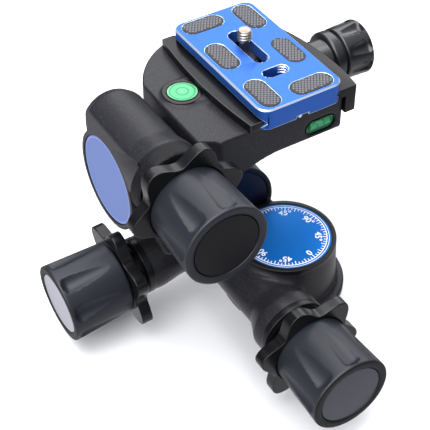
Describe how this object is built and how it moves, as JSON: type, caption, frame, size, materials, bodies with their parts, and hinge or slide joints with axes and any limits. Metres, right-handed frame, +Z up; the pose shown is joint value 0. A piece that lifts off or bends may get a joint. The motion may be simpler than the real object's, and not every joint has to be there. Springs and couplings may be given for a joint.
{
  "type": "three way pan tilt head",
  "caption": "Geared three way camera head: pan, side tilt and front tilt units with fluted knobs and release rings, levels, and a clamp with a blue quick release plate.",
  "frame": {"origin": "centre of the contact face on the tripod, on the pan axis", "axes": "+Z up along the pan axis; -Y is the front, where the tilt and pan knobs point; -X is the side of the roll knob"},
  "size_m": [0.1547, 0.1509, 0.1179],
  "materials": {
    "housing_paint": "satin fine texture black",
    "jaw_black": "black anodised",
    "knob_black": "satin black",
    "ring_black": "satin black",
    "cap_grey": "satin slate grey",
    "steel": "satin",
    "bronze": "machined",
    "plate_blue": "blue anodised",
    "dial_blue": "blue anodised, white marks",
    "disc_blue": "dark blue anodised",
    "pad_rubber": "fine ribbed",
    "vial_green": "clear green"
  },
  "bodies": {
    "base": {"base_plate": "housing_paint", "tripod_bush": "steel", "pan_spindle": "steel", "pan_worm_wheel": "bronze", "pan_spindle_nut": "steel", "pan_dial": "dial_blue"},
    "pan_stage": {"lower_housing": "housing_paint", "pan_worm_bearings": "bronze", "roll_worm_bearings": "bronze", "pan_spindle_bush": "bronze", "roll_spindle_bush": "bronze"},
    "pan_drive": {"pan_worm": "steel", "pan_knob": "knob_black", "pan_knob_cap": "cap_grey", "pan_knob_screw": "steel"},
    "pan_ring": {"pan_release_ring": "ring_black"},
    "roll_drive": {"roll_worm": "steel", "roll_knob": "knob_black", "roll_knob_cap": "cap_grey", "roll_knob_screw": "steel"},
    "roll_ring": {"roll_release_ring": "ring_black"},
    "roll_stage": {"upper_housing": "housing_paint", "roll_spindle": "steel", "roll_worm_wheel": "bronze", "roll_spindle_nut": "steel", "roll_disc": "disc_blue", "tilt_worm_bearings": "bronze", "tilt_spindle_bush": "bronze"},
    "tilt_drive": {"tilt_worm": "steel", "tilt_knob": "knob_black", "tilt_knob_cap": "cap_grey", "tilt_knob_screw": "steel"},
    "tilt_ring": {"tilt_release_ring": "ring_black"},
    "platform_stage": {"platform": "housing_paint", "tilt_spindle": "steel", "tilt_worm_wheel": "bronze", "tilt_spindle_nut": "steel", "tilt_disc": "disc_blue", "round_level": "vial_green", "tube_level": "vial_green", "fixed_jaw": "jaw_black"},
    "clamp_jaw": {"moving_jaw": "jaw_black", "clamp_guide_pins": "steel"},
    "clamp_hand_screw": {"clamp_screw": "steel", "clamp_collar": "jaw_black", "clamp_knob": "knob_black", "clamp_knob_cap": "cap_grey"},
    "plate": {"quick_release_plate": "plate_blue", "plate_pads": "pad_rubber"},
    "screw_slider": {"camera_screw_washer": "steel"},
    "camera_screw_turning": {"camera_screw": "steel"}
  },
  "joints": [
    {"name": "pan", "type": "hinge", "parent": "base", "child": "pan_stage", "pos_m": [0, 0, 0.019], "axis": [0, 0, 1], "continuous": true},
    {"name": "roll", "type": "hinge", "parent": "pan_stage", "child": "roll_stage", "pos_m": [-0.013, 0.034, 0.037], "axis": [0, 1, 0], "range_deg": [-5, 90]},
    {"name": "tilt", "type": "hinge", "parent": "roll_stage", "child": "platform_stage", "pos_m": [-0.052, 0.038, 0.066], "axis": [-1, 0, 0], "range_deg": [-40, 40]},
    {"name": "pan_knob_turn", "type": "hinge", "parent": "pan_stage", "child": "pan_drive", "pos_m": [-0.019, 0, 0.019], "axis": [0, -1, 0], "continuous": true},
    {"name": "roll_knob_turn", "type": "hinge", "parent": "pan_stage", "child": "roll_drive", "pos_m": [-0.01174, 0.034, 0.01804], "axis": [-0.9978, 0, -0.0663], "continuous": true},
    {"name": "tilt_knob_turn", "type": "hinge", "parent": "roll_stage", "child": "tilt_drive", "pos_m": [-0.052, 0.038, 0.085], "axis": [0, -1, 0], "continuous": true},
    {"name": "pan_release", "type": "hinge", "parent": "pan_stage", "child": "pan_ring", "pos_m": [-0.019, 0, 0.019], "axis": [0, -1, 0], "range_deg": [0, 25], "stiffness_Nm_per_rad": 0.05},
    {"name": "roll_release", "type": "hinge", "parent": "pan_stage", "child": "roll_ring", "pos_m": [-0.01174, 0.034, 0.01804], "axis": [-0.9978, 0, -0.0663], "range_deg": [0, 25], "stiffness_Nm_per_rad": 0.05},
    {"name": "tilt_release", "type": "hinge", "parent": "roll_stage", "child": "tilt_ring", "pos_m": [-0.052, 0.038, 0.085], "axis": [0, -1, 0], "range_deg": [0, 25], "stiffness_Nm_per_rad": 0.05},
    {"name": "clamp_open", "type": "slide", "parent": "platform_stage", "child": "clamp_jaw", "axis": [1, 0, 0], "range_m": [0, 0.004]},
    {"name": "clamp_screw_turn", "type": "hinge", "parent": "clamp_jaw", "child": "clamp_hand_screw", "pos_m": [0.04, 0.038, 0.086], "axis": [1, 0, 0], "range_deg": [0, 1440]},
    {"name": "plate_slide", "type": "slide", "parent": "platform_stage", "child": "plate", "axis": [0, 1, 0], "range_m": [-0.02, 0.02]},
    {"name": "camera_screw_slide", "type": "slide", "parent": "plate", "child": "screw_slider", "axis": [0, 1, 0], "range_m": [-0.0119, 0.0063]},
    {"name": "camera_screw_turn", "type": "hinge", "parent": "screw_slider", "child": "camera_screw_turning", "pos_m": [0.008, 0.0463, 0.1], "axis": [0, 0, 1], "continuous": true}
  ],
  "couplings": [
    {"joint": "pan_knob_turn", "follows": "pan", "ratio": 36},
    {"joint": "roll_knob_turn", "follows": "roll", "ratio": -36},
    {"joint": "tilt_knob_turn", "follows": "tilt", "ratio": 36},
    {"joint": "clamp_screw_turn", "follows": "clamp_open", "rad_per_m": 6283.2}
  ]
}
